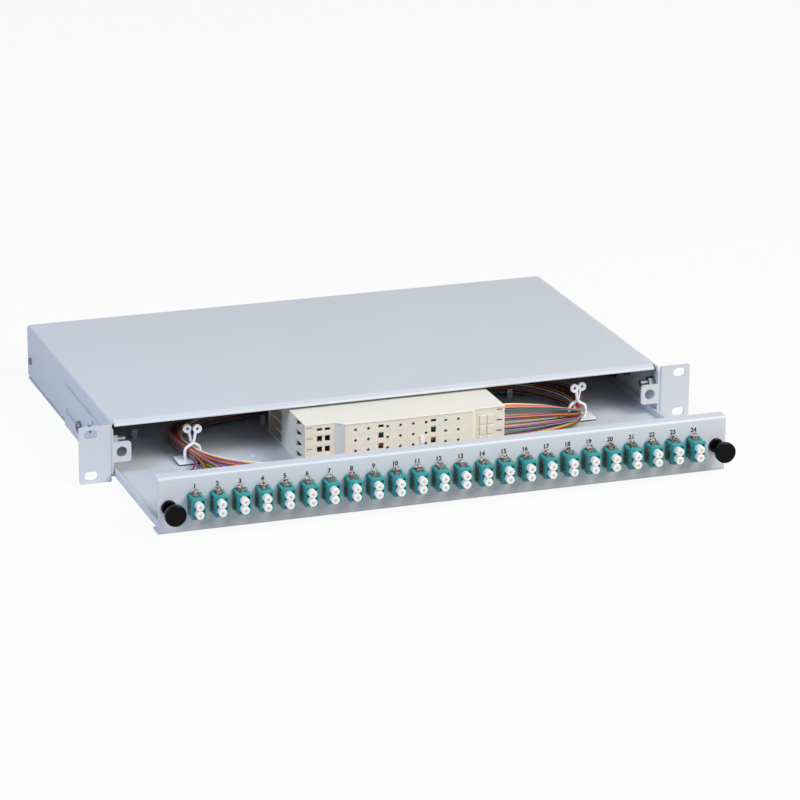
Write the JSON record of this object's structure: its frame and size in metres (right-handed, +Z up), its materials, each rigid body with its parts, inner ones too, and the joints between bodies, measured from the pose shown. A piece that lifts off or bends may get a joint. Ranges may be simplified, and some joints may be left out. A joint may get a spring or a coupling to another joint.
{
  "type": "sliding fibre patch drawer",
  "caption": "Low rack drawer for optical fibre, with a front row of duplex adapters, stacked splice cassettes inside, rack ears and two black push plungers.",
  "frame": {"origin": "centre of the four rack slots, on the front face of the rack ears", "axes": "+X to the right seen from the front, +Y back into the rack, +Z up; the drawer comes out along -Y"},
  "size_m": [0.4826, 0.4097, 0.044],
  "materials": {
    "light_grey_coat": "satin",
    "zinc_plated_steel": "satin",
    "spring_steel": "satin",
    "black_gloss_plastic": "gloss",
    "black_matte_plastic": "matte",
    "gland_rubber": "matte",
    "black_foam": "matte",
    "aqua_plastic": "satin",
    "ceramic": "gloss",
    "cap_plastic": "satin",
    "blue_plastic": "satin",
    "white_plastic": "satin",
    "cream_plastic": "satin",
    "clear_sleeve": "gloss",
    "fibre_pink": "satin",
    "fibre_aqua": "satin",
    "fibre_orange": "satin",
    "fibre_brown": "satin",
    "fibre_violet": "satin",
    "fibre_grey": "satin",
    "fibre_red": "satin",
    "fibre_green": "satin",
    "fibre_yellow": "satin",
    "fibre_black": "satin",
    "fibre_white": "satin",
    "fibre_blue": "satin"
  },
  "bodies": {
    "housing": {"housing_cover": "light_grey_coat", "housing_base": "light_grey_coat", "base_screws": "zinc_plated_steel", "side_screws": "zinc_plated_steel", "ear_bracket_left": "light_grey_coat", "ear_bracket_right": "light_grey_coat", "ear_screws": "zinc_plated_steel", "stop_pins": "zinc_plated_steel", "ear_washers": "zinc_plated_steel", "ear_nuts": "zinc_plated_steel", "gland_body": "black_matte_plastic", "gland_nut": "black_matte_plastic", "gland_seal": "gland_rubber", "gland_cap": "black_matte_plastic", "blanking_plugs": "black_matte_plastic"},
    "drawer": {"front_panel": "light_grey_coat", "drawer_tray": "light_grey_coat", "panel_rivets": "zinc_plated_steel", "cassette_screws": "zinc_plated_steel", "spring_clips_1_to_12": "spring_steel", "spring_clips_13_to_24": "spring_steel", "grommet_left": "black_gloss_plastic", "grommet_right": "black_gloss_plastic", "clip_pad_left": "black_foam", "clip_pad_right": "black_foam", "adapters_1_to_12": "aqua_plastic", "adapters_13_to_24": "aqua_plastic", "alignment_sleeves": "ceramic", "dust_caps_upper": "cap_plastic", "dust_caps_lower": "cap_plastic", "plugs_1_to_12": "blue_plastic", "plugs_13_to_24": "blue_plastic", "boots_1_to_12": "white_plastic", "boots_13_to_24": "white_plastic", "fibre_clip_left": "white_plastic", "fibre_clip_right": "white_plastic", "cassette_1": "cream_plastic", "cassette_2": "cream_plastic", "cassette_3": "cream_plastic", "cassette_4": "cream_plastic", "cassette_lid": "cream_plastic", "hinge_links": "cream_plastic", "splice_combs": "cream_plastic", "splice_sleeves": "clear_sleeve", "fibres_pink": "fibre_pink", "fibres_aqua": "fibre_aqua", "fibres_orange": "fibre_orange", "fibres_brown": "fibre_brown", "fibres_violet": "fibre_violet", "fibres_grey": "fibre_grey", "fibres_red": "fibre_red", "fibres_green": "fibre_green", "fibres_yellow": "fibre_yellow", "fibres_black": "fibre_black", "fibres_white": "fibre_white", "fibres_blue": "fibre_blue"},
    "plunger_left": {"plunger_left": "black_gloss_plastic"},
    "plunger_right": {"plunger_right": "black_gloss_plastic"}
  },
  "joints": [
    {"name": "drawer_slide", "type": "slide", "parent": "housing", "child": "drawer", "axis": [0, -1, 0], "range_m": [-0.1143, 0.059]},
    {"name": "plunger_left_push", "type": "slide", "parent": "drawer", "child": "plunger_left", "axis": [0, 1, 0], "range_m": [0, 0.0075]},
    {"name": "plunger_right_push", "type": "slide", "parent": "drawer", "child": "plunger_right", "axis": [0, 1, 0], "range_m": [0, 0.0075]}
  ]
}
